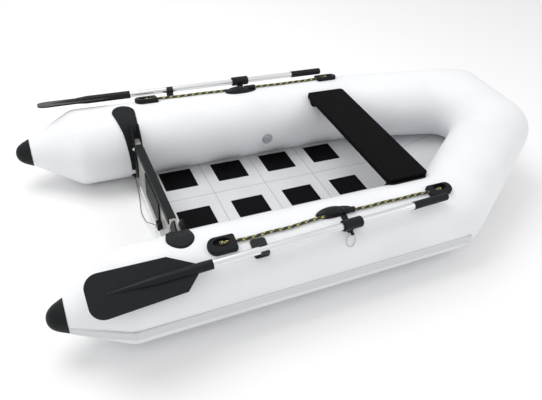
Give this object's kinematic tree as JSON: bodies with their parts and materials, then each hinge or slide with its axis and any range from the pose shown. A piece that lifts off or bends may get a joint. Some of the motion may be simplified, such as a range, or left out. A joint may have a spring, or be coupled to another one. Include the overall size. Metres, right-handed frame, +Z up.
{
  "type": "inflatable dinghy",
  "caption": "Small inflatable dinghy with raised angular bow, slatted floor, rigid transom, bench seat, rope lifelines and stowed oars in swivelling rowlocks.",
  "frame": {"origin": "on the ground under the middle of the hull: bottom centre of the bounding box", "axes": "+X to the bow, +Y to port, +Z up"},
  "size_m": [2.35, 1.3845, 0.491],
  "materials": {
    "hull_fabric": "coated white fabric, soft sheen",
    "floor_fabric": "light grey-white coated fabric",
    "black_moulding": "black soft moulding, satin",
    "grey_rubber": "light grey rubber strake",
    "slat_black": "black painted plywood slat, fine grain",
    "transom_grey": "grey painted plywood board",
    "steel": "bright stainless steel",
    "black_plastic": "black moulded plastic",
    "grey_cord": "grey braided cord",
    "seat_black": "black painted plywood plank, satin",
    "grey_plastic": "grey moulded plastic",
    "rope_fleck": "black braided rope with yellow flecks",
    "clip_rubber": "black soft rubber",
    "oar_aluminium": "drawn aluminium tube, silver-white"
  },
  "bodies": {
    "hull": {"bow_tube_port": "hull_fabric", "bow_tube_starboard": "hull_fabric", "drain_body": "black_plastic", "drain_leash": "grey_cord", "end_cap_port": "black_moulding", "end_cap_starboard": "black_moulding", "floor_deck": "floor_fabric", "floor_slat_1": "slat_black", "floor_slat_2": "slat_black", "floor_slat_3": "slat_black", "floor_slat_4": "slat_black", "front_tube": "hull_fabric", "hull_bottom": "hull_fabric", "keeper_loop_port": "steel", "keeper_loop_starboard": "steel", "leash_eye": "black_moulding", "lifeline_knots": "rope_fleck", "lifeline_port": "rope_fleck", "lifeline_starboard": "rope_fleck", "motor_pad_aft": "black_moulding", "motor_pad_inner": "black_moulding", "oar_clip_port": "clip_rubber", "oar_clip_starboard": "clip_rubber", "rope_guide_bow_port": "black_moulding", "rope_guide_bow_starboard": "black_moulding", "rope_guide_stern_port": "black_moulding", "rope_guide_stern_starboard": "black_moulding", "rowlock_base_port": "black_plastic", "rowlock_base_starboard": "black_plastic", "rub_strake_port": "grey_rubber", "rub_strake_starboard": "grey_rubber", "seat_bracket_port": "black_moulding", "seat_bracket_starboard": "black_moulding", "side_tube_port": "hull_fabric", "side_tube_starboard": "hull_fabric", "transom_board": "transom_grey", "transom_bolts": "steel", "transom_edge": "black_moulding", "transom_holder_port": "black_moulding", "transom_holder_starboard": "black_moulding", "valve_body_port": "grey_plastic", "valve_body_starboard": "grey_plastic", "valve_spring_port": "steel", "valve_spring_starboard": "steel"},
    "swivel_port": {"rowlock_swivel_port": "black_plastic"},
    "bush_port": {"rowlock_bush_port": "black_plastic"},
    "oar_port": {"oar_shaft_port": "oar_aluminium", "oar_blade_port": "black_plastic", "oar_grip_port": "black_plastic"},
    "valve_cap_port": {"valve_cap_port": "grey_plastic"},
    "valve_stem_port": {"valve_stem_port": "grey_plastic"},
    "swivel_starboard": {"rowlock_swivel_starboard": "black_plastic"},
    "bush_starboard": {"rowlock_bush_starboard": "black_plastic"},
    "oar_starboard": {"oar_shaft_starboard": "oar_aluminium", "oar_blade_starboard": "black_plastic", "oar_grip_starboard": "black_plastic"},
    "valve_cap_starboard": {"valve_cap_starboard": "grey_plastic"},
    "valve_stem_starboard": {"valve_stem_starboard": "grey_plastic"},
    "seat": {"seat_plank": "seat_black"},
    "drain_plug": {"drain_plug": "black_plastic"}
  },
  "joints": [
    {"name": "oar_sweep_port", "type": "hinge", "parent": "hull", "child": "swivel_port", "pos_m": [-0.082, 0.5976, 0.35767], "axis": [0.0057, -0.3422, -0.9396], "range_deg": [0, 100], "deforming": ["oar_clip_port"]},
    {"name": "oar_feather_port", "type": "hinge", "parent": "swivel_port", "child": "bush_port", "pos_m": [-0.082, 0.5976, 0.35767], "axis": [0.9995, -0.0271, 0.0159], "range_deg": [-30, 15]},
    {"name": "oar_slide_port", "type": "slide", "parent": "bush_port", "child": "oar_port", "axis": [0.9995, -0.0271, 0.0159], "range_m": [-0.19, 0.13]},
    {"name": "valve_cap_turn_port", "type": "hinge", "parent": "hull", "child": "valve_cap_port", "pos_m": [-0.034, 0.31511, 0.16889], "axis": [0, -0.9994, -0.0349], "range_deg": [0, 90]},
    {"name": "valve_stem_press_port", "type": "slide", "parent": "hull", "child": "valve_stem_port", "axis": [0, 0.9994, 0.0349], "range_m": [0, 0.004], "stiffness_N_per_m": 300, "springref_m": -0.003, "deforming": ["valve_spring_port"]},
    {"name": "oar_sweep_starboard", "type": "hinge", "parent": "hull", "child": "swivel_starboard", "pos_m": [-0.082, -0.5976, 0.35767], "axis": [-0.0057, -0.3422, 0.9396], "range_deg": [0, 100], "deforming": ["oar_clip_starboard"]},
    {"name": "oar_feather_starboard", "type": "hinge", "parent": "swivel_starboard", "child": "bush_starboard", "pos_m": [-0.082, -0.5976, 0.35767], "axis": [0.9995, 0.0271, 0.0159], "range_deg": [-25, 30]},
    {"name": "oar_slide_starboard", "type": "slide", "parent": "bush_starboard", "child": "oar_starboard", "axis": [0.9995, 0.0271, 0.0159], "range_m": [-0.19, 0.13]},
    {"name": "valve_cap_turn_starboard", "type": "hinge", "parent": "hull", "child": "valve_cap_starboard", "pos_m": [-0.034, -0.31511, 0.16889], "axis": [0, 0.9994, -0.0349], "range_deg": [0, 90]},
    {"name": "valve_stem_press_starboard", "type": "slide", "parent": "hull", "child": "valve_stem_starboard", "axis": [0, -0.9994, 0.0349], "range_m": [0, 0.004], "stiffness_N_per_m": 300, "springref_m": -0.003, "deforming": ["valve_spring_starboard"]},
    {"name": "seat_lift", "type": "slide", "parent": "hull", "child": "seat", "axis": [0, 0, 1], "range_m": [0, 0.3]},
    {"name": "drain_plug_pull", "type": "slide", "parent": "hull", "child": "drain_plug", "axis": [-1, 0, 0], "range_m": [0, 0.025]}
  ]
}
